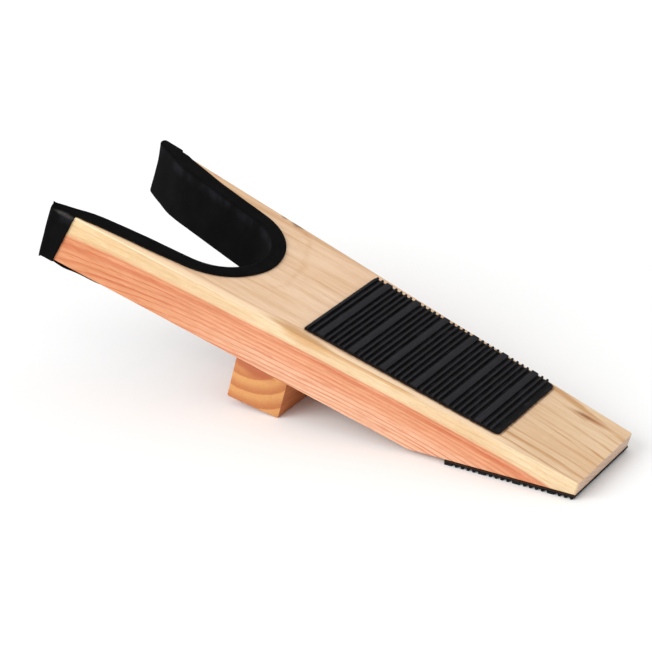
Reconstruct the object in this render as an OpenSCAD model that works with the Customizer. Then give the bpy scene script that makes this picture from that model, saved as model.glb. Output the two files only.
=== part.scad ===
// Boot jack: a tapered softwood board that a riser block holds up at a slope. The heel notch is
// lined with leather, a ribbed rubber tread is glued on top and a ribbed rubber grip is glued
// under the bevelled toe end.
// Pieces are drawn in the board's own frame and set down on the floor by in_place(). There x runs
// along the top face from the toe edge to the notch end, y runs across the board and z stands
// square to the top face, which is z = 0.

/* [Board] */
// Length of the board along its top face
board_len = 383; // [360:1:450]
// Thickness of the board
board_thick = 38; // [32:0.5:45]
// Width of the board at the toe end
toe_w = 71; // [60:0.5:90]
// Width of the board at the notch end
heel_w = 124; // [120:0.5:140]
// Thickness that the bevel leaves at the toe end
toe_thick = 9.8; // [6:0.2:16]
// Slope of the top face above the floor
tilt = 15; // [12:0.5:18]
// Lean of the notch end, which makes the underside the longer face
end_lean = 4; // [0:0.5:10]

/* [Heel notch] */
// Radius of the round bottom of the notch in the wood
notch_r = 37.5; // [34:0.5:41]
// Depth of the notch from the board's end
notch_depth = 125.5; // [115:1:140]
// Outward slope of each side of the notch
notch_flare = 8.8; // [5:0.1:11]
// Length of the wider mouth at the open end
mouth_len = 24; // [18:1:40]
// Radius that blends each side into the mouth
mouth_r = 60; // [40:1:80]
// Width of the wood at the tip of the thinner arm
tip_w = 1.8; // [1.5:0.1:6]
// Sideways place of the notch's centre line
notch_shift = -1.4; // [-2:0.2:2]

/* [Notch lining] */
// Thickness of the leather
leather_t = 1.5; // [1:0.1:2.2]
// Width of leather glued flat on the top and on the underside
lining_margin = 8; // [6:0.5:14]
// Length of the leather cap on an arm's tip at the top, from the wood's end
wrap_top = 17; // [10:0.5:24]
// Length of the leather cap on an arm's tip at the underside, from the wood's end
wrap_bottom = 10; // [5:0.5:20]

/* [Rubber matting] */
// Thickness of the matting over its ribs
mat_thick = 3; // [2.4:0.1:5]
// Thickness of the matting between its ribs
mat_base = 1.3; // [0.8:0.1:1.8]
// Width of the wide bars
bar_w = 5; // [3:0.25:8]
// Width of the narrow ribs
rib_w = 1.7; // [1:0.05:3]
// Gap between two ribs, and between a rib and a bar
rib_gap = 2.2; // [1:0.1:4]
// Number of narrow ribs between two wide bars
ribs_between = 4; // [2:1:8]

/* [Top tread] */
// Bare wood between the toe edge and the tread
tread_start = 58; // [20:1:75]
// Length of the tread along the board
tread_len = 140.6; // [100:0.2:160]
// Bare wood beside the tread at its toe end
tread_inset_toe = 3.6; // [2:0.1:8]
// Bare wood beside the tread at its notch end
tread_inset_heel = 7.5; // [2:0.1:15]
// Sideways place of the tread's centre line
tread_shift = 1.2; // [-1.6:0.2:1.6]
// Distance from the tread's notch end to its first wide bar
tread_lead = 9; // [1:0.1:20]
// Flat strip without ribs at the tread's toe end
tread_bare = 4; // [1:0.5:10]
// Radius of the tread's corners at the toe end
tread_corner_toe = 3; // [0.5:0.5:8]
// Radius of the tread's corners at the notch end
tread_corner_heel = 1.5; // [0.5:0.5:8]

/* [Floor grip] */
// Bare wood between the grip and the bend in the board's underside
grip_gap = 22.5; // [5:1:30]

/* [Riser block] */
// Length of the block along the board
block_len = 38; // [30:0.5:50]
// Wood between the block and the bottom of the notch
block_gap = 23.5; // [15:1:40]
// Angle between the block's underside and the board's
block_slope = 5; // [0:0.5:10]
// Radius of the block's lower corners
block_corner = 1.5; // [0.5:0.1:4]

/* [Block screws] */
// Diameter over the thread, and of the plain shank
screw_d = 5; // [4:0.1:6]
// Diameter of the core under the thread
core_d = 3.4; // [2.4:0.1:3.8]
// Diameter of the countersunk head
head_d = 9.6; // [8:0.1:11]
// Depth of the screws in the board
screw_bite = 22; // [14:0.5:26]
// Distance between the two screws
screw_spacing = 50; // [30:1:70]
// Depth of the heads below the block's underside
head_sink = 1.2; // [0.8:0.1:4]
// Distance between two turns of the thread
thread_pitch = 2.5; // [1.8:0.1:3.5]

/* [Hidden] */

// Clearance of a screw in the block, and of its thread in the board
shank_clear = 0.3;
thread_clear = 0.05;
// Wood left past a screw's point in its pilot hole
pilot_past = 0.6;
// Cross recess in a screw's head: width, depth and length of its two slots
slot_w = 0.9;
slot_deep = 1.8;
slot_len = 4.6;
// Length of a screw's point
point_len = 5;
// One turn of the thread: diameters, and how far along the turn each is reached
thread_turn = [[core_d, 0.15], [core_d, 0.6], [screw_d, 1]];
// Flat strip without ribs at the end of a mat where its pattern starts
rib_edge = 0.8;
// How far a cutting shape reaches past what it cuts
past = 20;
// Steps in a quarter turn of an outline's round stretches
steps = 12;
// Facets of a round hole and of a screw
facets = 48;

// Where the board lies on the floor
toe_z = mat_thick + toe_thick * cos(tilt);
end_reach = leather_t / cos(end_lean);
low_z = -board_thick - leather_t;
jack_len = (board_len + end_reach - low_z * tan(end_lean)) * cos(tilt) - low_z * sin(tilt);
toe_x = jack_len / 2;

// Board
side_slope = (heel_w - toe_w) / 2 / board_len;
bevel_x = (board_thick - toe_thick) / tan(tilt);
blank_len = board_len + board_thick * tan(end_lean) + past;

// Notch: its round bottom, its straight sides and the mouth, which each side bends into
notch_x = board_len - notch_depth + notch_r;
side_dir = [cos(notch_flare), sin(notch_flare)];
side_out = [-sin(notch_flare), cos(notch_flare)];
side_start = [notch_x, 0] + notch_r * side_out;
mouth_start = side_start + side_dir * (board_len - mouth_len - side_start[0]) / side_dir[0];
mouth_end = [board_len, heel_w / 2 - tip_w - abs(notch_shift)];
mouth_flare = atan2(mouth_end[1] - mouth_start[1], mouth_len);
bend = mouth_flare - notch_flare;
bend_side = bend < 0 ? -1 : 1;
// The bend's radius is no larger than the straight stretches beside it have room for
bend_room = min(norm(mouth_start - side_start), norm(mouth_end - mouth_start));
bend_r = min(mouth_r, bend_room / tan(abs(bend) / 2));
bend_c = mouth_start - side_dir * bend_r * tan(abs(bend) / 2) + side_out * bend_side * bend_r;

// Matting
rib_pitch = rib_w + rib_gap;
bar_pitch = bar_w + rib_gap + ribs_between * rib_pitch;
bevel_len = (board_thick - toe_thick) / sin(tilt);
grip_len = bevel_len - grip_gap;

// Block, with the centre of its toe-side corner one radius above the floor
block_x = board_len - notch_depth - block_gap - block_len;
corner_x = block_x + block_corner;
corner_z = (block_corner - toe_z - corner_x * sin(tilt)) / cos(tilt);
corner_run = block_len - 2 * block_corner;
screw_x = block_x + block_len / 2;
under_z = corner_z - block_corner / cos(block_slope) - (screw_x - corner_x) * tan(block_slope);
head_z = under_z + head_sink;
head_h = (head_d - screw_d) / 2;
screw_len = screw_bite - board_thick - head_z;

// Half of the board's width at a distance from the toe edge
function half_w(x) = toe_w / 2 + x * side_slope;
// Place of the board's notch end at a height, moved out by a distance
function end_x(z, out = 0) = board_len - z * tan(end_lean) + out / cos(end_lean);
// Edge of the leather cap on an arm's outer side at a height
function wrap_x(z) =
    board_len - wrap_top - z / board_thick * (end_x(-board_thick) - board_len + wrap_top - wrap_bottom);

// Points on an arc about c from angle a0 to a1
function arc(c, r, a0, a1) =
    let (n = max(2, ceil(abs(a1 - a0) / 90 * steps)))
    [for (i = [0 : n]) c + r * [cos(a0 + (a1 - a0) * i / n), sin(a0 + (a1 - a0) * i / n)]];

// One side of the notch from its bottom to past its mouth, moved into the wood by a distance
function notch_side(out) =
    let (
        bottom = arc([notch_x, 0], notch_r + out, 180, 90 + notch_flare),
        round_r = bend_r - bend_side * out,
        bent = arc(bend_c, round_r, notch_flare - 90 * bend_side, mouth_flare - 90 * bend_side),
        last = bent[len(bent) - 1],
        run = (blank_len + past - last[0]) / cos(mouth_flare)
    )
    concat(bottom, bent, [last + run * [cos(mouth_flare), sin(mouth_flare)]]);

// Corner b of an outline, rounded between its neighbours a and c
function corner(a, b, c, r) =
    let (
        u = (a - b) / norm(a - b),
        v = (c - b) / norm(c - b),
        half = acos(u * v) / 2,
        o = b + (u + v) / norm(u + v) * r / sin(half),
        from = b + u * r / tan(half) - o,
        to = b + v * r / tan(half) - o,
        a0 = atan2(from[1], from[0]),
        turn = atan2(to[1], to[0]) - a0,
        sweep = turn > 180 ? turn - 360 : turn < -180 ? turn + 360 : turn
    )
    r > 0 ? arc(o, r, a0, a0 + sweep) : [b];

// Outline with each corner rounded to its own radius
function rounded(p, radii) =
    let (n = len(p))
    [for (i = [0 : n - 1]) each corner(p[(i + n - 1) % n], p[i], p[(i + 1) % n], radii[i])];

// Sets a piece drawn in the board's frame down on the floor
module in_place() {
    translate([toe_x, 0, toe_z]) rotate([0, tilt, 0]) mirror([1, 0, 0]) children();
}

// Prism across the board, from an outline in x and z
module across(outline) {
    rotate([90, 0, 0]) linear_extrude(heel_w + 2 * past, center = true) polygon(outline);
}

// Prism square to the top face, from below the board to above it
module upright(low = low_z, high = leather_t) {
    translate([0, 0, low]) linear_extrude(high - low) children();
}

// The board seen from above, with each side moved out by a distance
module board_plan(out = 0) {
    toe_half = half_w(0) + out / cos(atan(side_slope));
    end_half = half_w(blank_len) + out / cos(atan(side_slope));
    polygon([[0, -toe_half], [blank_len, -end_half], [blank_len, end_half], [0, toe_half]]);
}

module notch_plan(out) {
    side = notch_side(out);
    far_side = [for (i = [len(side) - 1 : -1 : 1]) [side[i][0], -side[i][1]]];
    translate([0, notch_shift]) polygon(concat(side, far_side));
}

// Wood of the board without its screw holes
module sawn_board() {
    difference() {
        intersection() {
            upright(-board_thick, 0) board_plan();
            across([[0, 0], [0, -toe_thick], [bevel_x, -board_thick],
                    [end_x(-board_thick), -board_thick], [end_x(0), 0]]);
        }
        upright(-board_thick - past, past) notch_plan(0);
    }
}

module at_screws() {
    for (side = [-1, 1]) translate([screw_x, side * screw_spacing / 2, head_z]) children();
}

module board() {
    color("burlywood") in_place() difference() {
        sawn_board();
        at_screws() cylinder(h = screw_len + pilot_past, d = screw_d + 2 * thread_clear, $fn = facets);
    }
}

// Underside of the block: a flat between two round corners
module block_profile() {
    across(concat(
        [[block_x, -board_thick], [block_x + block_len, -board_thick]],
        arc([corner_x + corner_run, corner_z - corner_run * tan(block_slope)], block_corner,
            0, -90 - block_slope),
        arc([corner_x, corner_z], block_corner, -90 - block_slope, -180)
    ));
}

// Hole for a screw, from its head's face: the counterbore, the countersink and the shank's hole
module screw_hole() {
    hole_d = screw_d + 2 * shank_clear;
    sink_d = head_d + 2 * shank_clear;
    translate([0, 0, -head_sink - past]) cylinder(h = head_sink + past, d = sink_d, $fn = facets);
    cylinder(h = head_h, d1 = sink_d, d2 = hole_d, $fn = facets);
    cylinder(h = -board_thick - head_z + past, d = hole_d, $fn = facets);
}

module riser_block() {
    color("peru") in_place() difference() {
        intersection() {
            block_profile();
            upright(under_z - past, -board_thick) board_plan();
        }
        at_screws() screw_hole();
    }
}

// Leather round the notch's wall, folded on to both faces, and capping the tip of each arm
module jaw_lining() {
    start = board_len - notch_depth - lining_margin - past;
    end_low = [end_x(low_z, leather_t), low_z];
    end_high = [end_x(leather_t, leather_t), leather_t];
    color([0.1, 0.1, 0.11]) in_place() difference() {
        union() {
            intersection() {
                upright() difference() {
                    intersection() {
                        board_plan();
                        notch_plan(lining_margin);
                    }
                    notch_plan(-leather_t);
                }
                across([[start, leather_t], [start, low_z], end_low, end_high]);
            }
            intersection() {
                upright() difference() {
                    board_plan(leather_t);
                    notch_plan(-leather_t);
                }
                across([[wrap_x(leather_t), leather_t], [wrap_x(low_z), low_z], end_low, end_high]);
            }
        }
        sawn_board();
    }
}

// Ribbed matting: x runs from the end where the pattern starts, and the ribs stand up
module matting(length, w0, w1, radii, lead, bare) {
    outline = rounded([[0, -w0 / 2], [length, -w1 / 2], [length, w1 / 2], [0, w0 / 2]], radii);
    linear_extrude(mat_base) polygon(outline);
    linear_extrude(mat_thick) intersection() {
        polygon(outline);
        for (bar = [-1 : ceil(length / bar_pitch)], rib = [0 : ribs_between]) {
            x = lead + bar * bar_pitch + (rib == 0 ? 0 : bar_w + rib_gap + (rib - 1) * rib_pitch);
            w = rib == 0 ? bar_w : rib_w;
            if (x >= min(rib_edge, lead) && x + w <= length - bare)
                translate([x, -w0]) square([w, 2 * w0]);
        }
    }
}

module top_tread() {
    tread_end = tread_start + tread_len;
    w_toe = 2 * (half_w(tread_start) - tread_inset_toe);
    w_heel = 2 * (half_w(tread_end) - tread_inset_heel);
    radii = [tread_corner_heel, tread_corner_toe, tread_corner_toe, tread_corner_heel];
    color([0.16, 0.16, 0.17]) in_place()
        translate([tread_end, tread_shift, 0]) mirror([1, 0, 0])
        matting(tread_len, w_heel, w_toe, radii, tread_lead, tread_bare);
}

// Matting with its ribs down, on the bevel under the toe end
module floor_grip() {
    inner_w = 2 * half_w(grip_len * cos(tilt));
    color([0.16, 0.16, 0.17])
        translate([toe_x - toe_thick * sin(tilt) - grip_len, 0, mat_thick]) mirror([0, 0, 1])
        matting(grip_len, inner_w, toe_w, [0, 0, 0, 0], 0, 0);
}

// Outline of a screw from its head's face to its point, with the thread as rings
function screw_profile() =
    let (
        shank = -board_thick - head_z,
        turns = floor((screw_len - point_len - shank) / thread_pitch)
    )
    concat(
        [[0, 0], [head_d / 2, 0], [screw_d / 2, head_h], [screw_d / 2, shank]],
        [for (i = [0 : turns - 1], p = thread_turn) [p[0] / 2, shank + (i + p[1]) * thread_pitch]],
        [[core_d / 2, screw_len - point_len], [0, screw_len]]
    );

module block_screws() {
    color("silver") in_place() at_screws() difference() {
        rotate_extrude($fn = facets) polygon(screw_profile());
        for (turn = [0, 90]) rotate([0, 0, turn])
            translate([-slot_len / 2, -slot_w / 2, -past]) cube([slot_len, slot_w, slot_deep + past]);
    }
}

board();
riser_block();
jaw_lining();
top_tread();
floor_grip();
block_screws();
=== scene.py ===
import math

import bmesh
import bpy
from mathutils import Matrix, Vector, noise


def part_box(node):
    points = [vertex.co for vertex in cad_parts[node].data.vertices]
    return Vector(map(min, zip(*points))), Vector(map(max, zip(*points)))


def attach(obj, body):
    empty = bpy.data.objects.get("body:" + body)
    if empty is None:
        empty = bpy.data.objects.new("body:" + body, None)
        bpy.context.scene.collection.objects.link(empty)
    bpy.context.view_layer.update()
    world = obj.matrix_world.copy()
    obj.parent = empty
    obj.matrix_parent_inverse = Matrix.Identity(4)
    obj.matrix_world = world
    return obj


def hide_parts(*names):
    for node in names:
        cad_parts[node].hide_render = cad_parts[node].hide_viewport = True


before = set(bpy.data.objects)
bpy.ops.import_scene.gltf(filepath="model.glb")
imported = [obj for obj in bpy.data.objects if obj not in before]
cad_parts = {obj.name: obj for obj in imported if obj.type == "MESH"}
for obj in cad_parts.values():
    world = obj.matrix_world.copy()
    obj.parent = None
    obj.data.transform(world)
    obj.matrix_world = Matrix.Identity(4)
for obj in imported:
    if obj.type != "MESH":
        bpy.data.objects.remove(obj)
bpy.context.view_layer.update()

# Boot jack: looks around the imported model.
# Pieces are shaped in the board's own frame, in millimetres. There x is 0 at the toe edge and
# negative towards the notch, y runs across and z stands square to the top face. "Along" is -x.
# The near side is the one at negative y, which the camera sees.

jack = dict(
    boardLen=383.0, boardThick=38.0, toeWide=71.0, heelWide=124.0, toeThick=9.8,
    tilt=15.0, endLean=4.0, matThick=3.0,
)
tilt = math.radians(jack["tilt"])
lean = math.radians(jack["endLean"])
slope = (jack["heelWide"] - jack["toeWide"]) / 2 / jack["boardLen"]
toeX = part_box("board")[1].x * 1000
toeZ = jack["matThick"] + jack["toeThick"] * math.cos(tilt)
underside = -jack["boardThick"]
toMetres = Matrix.Scale(0.001, 4)
onJack = toMetres @ Matrix.Translation((toeX, 0, toeZ)) @ Matrix.Rotation(tilt, 4, "Y")


def halfWide(along):
    return jack["toeWide"] / 2 + along * slope


def addObject(name, data):
    made = bpy.data.objects.new(name, data)
    bpy.context.collection.objects.link(made)
    return made


def meshFrom(bm, name):
    mesh = bpy.data.meshes.new(name)
    bm.to_mesh(mesh)
    bm.free()
    return mesh


# Camera: its direction in degrees, its distance in millimetres, its focal length in pixels, and
# the pixel where the origin falls
view = dict(azimuth=32.90407, elevation=27.274, focal=2337.2275, distance=1510.181,
            originPixel=(338.4225, 392.7238), frame=652)


def makeCamera():
    az, el = math.radians(view["azimuth"]), math.radians(view["elevation"])
    back = Vector((math.sin(az) * math.cos(el), -math.cos(az) * math.cos(el), math.sin(el)))
    right = Vector((math.cos(az), math.sin(az), 0))
    up = back.cross(right)
    half = view["frame"] / 2
    perPixel = view["distance"] / view["focal"]
    across = (view["originPixel"][0] - half) * perPixel
    above = (half - view["originPixel"][1]) * perPixel
    place = back * view["distance"] - right * across - up * above
    data = bpy.data.cameras.new("photoCamera")
    data.sensor_width = 36
    data.lens = view["focal"] * data.sensor_width / view["frame"]
    data.clip_start, data.clip_end = 0.05, 30
    cam = addObject("photoCamera", data)
    turn = Matrix((right, up, back)).transposed().to_4x4()
    cam.matrix_world = Matrix.Translation(place * 0.001) @ turn
    bpy.context.scene.camera = cam


makeCamera()
print("camera placed")


# Small helpers for shader nodes. rgb makes a screen colour, 0 to 255, linear.
def rgb(red, green, blue):
    def one(value):
        value = value / 255
        return value / 12.92 if value <= 0.04045 else ((value + 0.055) / 1.055) ** 2.4
    return (one(red), one(green), one(blue), 1)


white = (1, 1, 1, 1)


def setSocket(tree, socket, value):
    if isinstance(value, bpy.types.NodeSocket):
        tree.links.new(value, socket)
    else:
        socket.default_value = value


def addNode(tree, kind, inputs=None, **settings):
    made = tree.nodes.new(kind)
    for name, value in settings.items():
        setattr(made, name, value)
    for key, value in (inputs or {}).items():
        setSocket(tree, made.inputs[key], value)
    return made


def calc(tree, operation, a, b=0.0, c=0.0):
    return addNode(tree, "ShaderNodeMath", {0: a, 1: b, 2: c}, operation=operation).outputs[0]


def times(tree, first, *others):
    for value in others:
        first = calc(tree, "MULTIPLY", first, value)
    return first


def ramp(tree, value, low, high, start=0.0, end=1.0):
    return addNode(tree, "ShaderNodeMapRange", {
        "Value": value, "From Min": low, "From Max": high, "To Min": start, "To Max": end,
    }, interpolation_type="SMOOTHSTEP").outputs["Result"]


def mix(tree, amount, a, b, blend="MIX"):
    made = addNode(tree, "ShaderNodeMix", data_type="RGBA", blend_type=blend)
    for socket, value in ((made.inputs[0], amount), (made.inputs[6], a), (made.inputs[7], b)):
        setSocket(tree, socket, value)
    return made.outputs[2]


def shadeBy(tree, amount, colour, shade):
    return mix(tree, amount, colour, shade, "MULTIPLY")


def vectorMath(tree, operation, a, b):
    return addNode(tree, "ShaderNodeVectorMath", {0: a, 1: b}, operation=operation).outputs[0]


def partsOf(tree, vector):
    return addNode(tree, "ShaderNodeSeparateXYZ", {0: vector}).outputs


def distance(tree, a, b):
    return calc(tree, "SQRT", calc(tree, "ADD", times(tree, a, a), times(tree, b, b)))


def fuzz(tree, vector, factors, detail=2.0, rough=0.5):
    return addNode(tree, "ShaderNodeTexNoise", {
        "Vector": vectorMath(tree, "MULTIPLY", vector, factors), "Scale": 1.0,
        "Detail": detail, "Roughness": rough,
    }).outputs["Fac"]


def newGroup(name, inputs, outputs):
    tree = bpy.data.node_groups.new(name, "ShaderNodeTree")
    for label, kind, value in inputs:
        socket = tree.interface.new_socket(name=label, in_out="INPUT", socket_type=kind)
        if value is not None:
            socket.default_value = value
    for label, kind in outputs:
        tree.interface.new_socket(name=label, in_out="OUTPUT", socket_type=kind)
    return tree, tree.nodes.new("NodeGroupInput").outputs, tree.nodes.new("NodeGroupOutput").inputs


def useGroup(tree, group, **inputs):
    return addNode(tree, "ShaderNodeGroup", inputs, node_tree=group).outputs


number, vector3 = "NodeSocketFloat", "NodeSocketVector"


# Dark late wood at the end of each year's ring, from a distance through the rings
def growthRings():
    tree, given, made = newGroup("growthRings", [
        ("Distance", number, 0), ("Spacing", number, 3.0), ("Vector", vector3, None),
        ("Early", number, 0.45), ("Drift", number, 7.0),
    ], [("Line", number)])
    wobble = calc(tree, "SUBTRACT", fuzz(tree, given["Vector"], (0.012, 0.06, 0.06), 3), 0.5)
    moved = calc(tree, "MULTIPLY_ADD", wobble, 3.0, given["Distance"])
    uneven = addNode(tree, "ShaderNodeTexNoise", {
        "W": times(tree, moved, 0.16), "Scale": 1.0, "Detail": 1.0}, noise_dimensions="1D").outputs["Fac"]
    moved = calc(tree, "MULTIPLY_ADD", uneven, given["Drift"], moved)
    part = calc(tree, "FRACT", calc(tree, "DIVIDE", moved, given["Spacing"]))
    rise = ramp(tree, part, given["Early"], 0.88)
    drop = ramp(tree, part, 0.92, 1.0, 1.0, 0.0)
    tree.links.new(times(tree, rise, drop), made["Line"])
    return tree


# Fine streaks along the grain, x being the direction of the grain
def woodFibre():
    tree, given, made = newGroup(
        "woodFibre", [("Vector", vector3, None), ("Fineness", number, 1.0)],
        [("Streak", number), ("Blotch", number), ("Height", number), ("Pore", number)])
    finer = addNode(tree, "ShaderNodeVectorMath", {
        0: given["Vector"], "Scale": given["Fineness"]}, operation="SCALE").outputs[0]
    fine = fuzz(tree, finer, (0.05, 1.5, 1.5), 3, 0.6)
    wide = fuzz(tree, given["Vector"], (0.02, 0.35, 0.35), 2)
    streak = calc(tree, "ADD", times(tree, fine, 0.6), times(tree, wide, 0.4))
    dash = fuzz(tree, finer, (0.16, 2.4, 2.4), 2, 0.6)
    tree.links.new(ramp(tree, streak, 0.35, 0.65), made["Streak"])
    tree.links.new(fuzz(tree, given["Vector"], (0.008, 0.03, 0.03), 2), made["Blotch"])
    tree.links.new(fine, made["Height"])
    tree.links.new(ramp(tree, dash, 0.6, 0.72), made["Pore"])
    return tree


# A soft oval mark round a point, such as a knot or a stain
def softMark():
    tree, given, made = newGroup("softMark", [
        ("Vector", vector3, None), ("Centre", vector3, None), ("Size", vector3, (1, 1, 1)),
        ("Core", number, 0.3),
    ], [("Mask", number)])
    away = vectorMath(tree, "SUBTRACT", given["Vector"], given["Centre"])
    away = vectorMath(tree, "DIVIDE", away, given["Size"])
    far = addNode(tree, "ShaderNodeVectorMath", {0: away}, operation="LENGTH").outputs["Value"]
    ragged = times(tree, calc(tree, "SUBTRACT", fuzz(tree, away, (1.5, 1.5, 1.5), 3), 0.5), 0.7)
    tree.links.new(ramp(tree, calc(tree, "ADD", far, ragged), 1.0, given["Core"]), made["Mask"])
    return tree


# Course of the rings through the board: bowed along its length, more so deeper down, and
# flat sawn to one side. The arc is a faint ring round a point just inside the notch.
plank = dict(
    bowAlong=130.0, bowOver=100.0, bowToe=1.8, bowHeel=0.48, bowFrom=110.0, bowTo=150.0,
    deepFrom=8.0, deepBow=0.19, arch=(1.5, -16.0, 15.9),
    arcAlong=293.0, arcRadius=66.0, arcWide=3.6, arcThin=0.2, arcWander=16.0,
    arcSide=(-34.0, -4.0), arcBack=20.0,
)


# How far a point lies through the rings of the board, and the mask of the arc
def plankRings():
    tree, given, made = newGroup(
        "plankRings", [("Vector", vector3, None)], [("Distance", number), ("Arc", number)])
    split = partsOf(tree, given["Vector"])
    along = times(tree, split["X"], -1.0)
    bow = calc(tree, "DIVIDE", calc(tree, "SUBTRACT", along, plank["bowAlong"]), plank["bowOver"])
    strength = ramp(tree, along, plank["bowFrom"], plank["bowTo"], plank["bowToe"], plank["bowHeel"])
    depth = calc(tree, "SUBTRACT", times(tree, split["Z"], -1.0), plank["deepFrom"])
    deeper = calc(tree, "MULTIPLY_ADD", calc(tree, "MAXIMUM", depth, 0.0), plank["deepBow"], 1.0)
    bend = times(tree, bow, bow, strength, deeper)
    half = calc(tree, "MULTIPLY_ADD", along, slope, jack["toeWide"] / 2)
    side = calc(tree, "ADD", calc(tree, "DIVIDE", split["Y"], half), 1.0)
    steep, fall, start = plank["arch"]
    arch = calc(tree, "MULTIPLY_ADD", side, calc(tree, "MULTIPLY_ADD", side, steep, fall), start)
    tree.links.new(calc(tree, "SUBTRACT", calc(tree, "ADD", split["Z"], bend), arch), made["Distance"])
    ahead = calc(tree, "SUBTRACT", along, plank["arcAlong"])
    wander = times(tree, fuzz(tree, given["Vector"], (0.035, 0.035, 0.035), 3), plank["arcWander"])
    away = calc(tree, "ADD", distance(tree, ahead, split["Y"]), wander)
    gap = calc(tree, "ABSOLUTE", calc(tree, "SUBTRACT", away, plank["arcRadius"]))
    arc = times(tree, ramp(tree, gap, plank["arcWide"], plank["arcThin"]),
                ramp(tree, split["Y"], *plank["arcSide"]), ramp(tree, ahead, 0.0, -plank["arcBack"]))
    tree.links.new(arc, made["Arc"])
    return tree


ringGroup, fibreGroup, markGroup, plankGroup = growthRings(), woodFibre(), softMark(), plankRings()


def newMaterial(name, values):
    made = bpy.data.materials.new(name)
    made.use_nodes = True
    tree = made.node_tree
    shader = tree.nodes["Principled BSDF"]
    for key, value in values.items():
        shader.inputs[key].default_value = value
    place = tree.nodes.new("ShaderNodeTexCoord").outputs["Object"]
    return made, tree, shader, place


# Object coordinates turned into a piece's own frame, in millimetres
def ownPlace(tree, place, location, turn):
    return addNode(tree, "ShaderNodeMapping", {
        "Vector": place, "Location": location, "Rotation": turn, "Scale": (0.001, 0.001, 0.001),
    }, vector_type="TEXTURE").outputs[0]


boardFrame = ((toeX / 1000, 0, toeZ / 1000), (0, tilt, 0))
gripFrame = ((0, 0, jack["matThick"] / 1000), (math.pi, 0, 0))


def addBump(tree, shader, height, strength, depth):
    bump = addNode(tree, "ShaderNodeBump", {"Height": height, "Strength": strength, "Distance": depth})
    tree.links.new(bump.outputs[0], shader.inputs["Normal"])


def facingOf(tree):
    return partsOf(tree, addNode(tree, "ShaderNodeNewGeometry").outputs["Normal"])


def markAt(tree, spot, mark):
    mask = useGroup(tree, markGroup, Vector=spot, Centre=mark["centre"], Size=mark["size"], Core=mark["core"])
    return mask["Mask"]


# Tones of the board, then where and how strongly they show. Pairs of places run from none to full.
boardLook = dict(
    sapwood=rgb(225, 203, 167), sapLine=rgb(206, 158, 108), topToneAndLight=rgb(238, 208, 178),
    heartwood=rgb(219, 157, 119), heartPale=rgb(228, 181, 151), heartLine=rgb(199, 116, 78),
    endGrain=rgb(224, 197, 173), endFleck=rgb(184, 150, 127), endLine=rgb(150, 112, 84),
    streakLight=rgb(255, 253, 250), streakDark=rgb(238, 228, 216), pore=rgb(226, 204, 182),
    blotch=rgb(246, 236, 224), bleached=rgb(255, 250, 236), toeShade=rgb(246, 246, 239),
    paleStrip=rgb(249, 219, 182), edgeHighlight=rgb(250, 234, 208), glueAndShadow=rgb(96, 54, 30),
    knot=rgb(104, 64, 38), stain=rgb(168, 108, 58), patch=rgb(198, 150, 96),
    ringSpacing=3.0, heartFrom=-25.4, heartBlend=(2.8, 0.4), heartWander=1.2,
    sideLines=0.38, toeLines=1.0, heelLines=0.42, topSharp=2.6, arcShade=0.3, underLines=0.4,
    paleDeep=(-17, -32), paleHeel=(290, 200), rimWide=(2.8, 0.4), toeShadeAlong=(85, 45),
    stripGap=(7.0, 3.5), stripAlong=(40, 70), stripAmount=0.8, bleachAlong=(250, 375), bleachAmount=0.8,
    highlightAlong=(260, 310), highlightAmount=(0.15, 0.55), grimeGap=(2.4, 0.8), grimeDeep=(-1.6, -0.8),
    grimeToe=(106, 124), grimeHeel=(214, 200), grimeAmount=0.8,
)

# Blemishes of the board, in the order that they are laid on
boardMarks = [
    dict(tone="knot", amount=0.8, centre=(-266.5, 53.8, -1), size=(7, 4.6, 6), core=0.3),
    dict(tone="knot", amount=0.7, centre=(-278, 54.6, -1), size=(4, 3.2, 5), core=0.3),
    dict(tone="heartLine", amount=0.6, centre=(-337, 58.4, 0), size=(7, 2.6, 4), core=0.2),
    dict(tone="stain", amount=1.0, centre=(-26, 26.6, 0), size=(20, 4.2, 8), core=0.0),
    dict(tone="knot", amount=0.55, centre=(-30, 27.0, 0), size=(9, 1.8, 4), core=0.1),
    dict(tone="patch", amount=0.9, centre=(-197, -46.6, 0), size=(34, 5.2, 8), core=0.3),
]

# Tread: its outline on the top face, which the line of glue and painted contact shadow round it follows too
tread = dict(start=58.0, length=140.6, insetToe=3.6, insetHeel=7.5, shift=1.2, lead=9.0, bare=4.0,
             cornerHeel=0.6, cornerToe=3.0)
# Reach and strength of the line of glue and painted contact shadow round the tread
glueAndShadow = dict(inner=0.6, outer=1.7, heel=0.65, toe=0.9, thinnest=0.5)


# Thin brown line just outside the tread's outline, strongest at its toe end: partly glue and dirt, partly
# painted contact shadow of the tread
def glueAndShadowLine(tree, spot):
    split = partsOf(tree, spot)
    middle, half = -tread["start"] - tread["length"] / 2, tread["length"] / 2
    toeHalf = halfWide(tread["start"]) - tread["insetToe"]
    heelHalf = halfWide(tread["start"] + tread["length"]) - tread["insetHeel"]
    ahead = calc(tree, "SUBTRACT", split["X"], middle)
    widening = (toeHalf - heelHalf) / tread["length"]
    wide = calc(tree, "MULTIPLY_ADD", ahead, widening, (toeHalf + heelHalf) / 2)
    aside = calc(tree, "ABSOLUTE", calc(tree, "SUBTRACT", split["Y"], tread["shift"]))
    corner = tread["cornerToe"]
    beyond = [calc(tree, "MAXIMUM", calc(tree, "ADD", gap, corner), 0.0) for gap in (
        calc(tree, "SUBTRACT", aside, wide), calc(tree, "SUBTRACT", calc(tree, "ABSOLUTE", ahead), half))]
    worn = ramp(tree, fuzz(tree, spot, (0.3, 0.3, 0.3), 2), 0.3, 0.7, glueAndShadow["thinnest"], 1.0)
    line = ramp(tree, distance(tree, *beyond), corner + glueAndShadow["outer"], corner + glueAndShadow["inner"])
    return times(tree, line, worn, ramp(tree, ahead, -half, half, glueAndShadow["heel"], glueAndShadow["toe"]))


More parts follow.
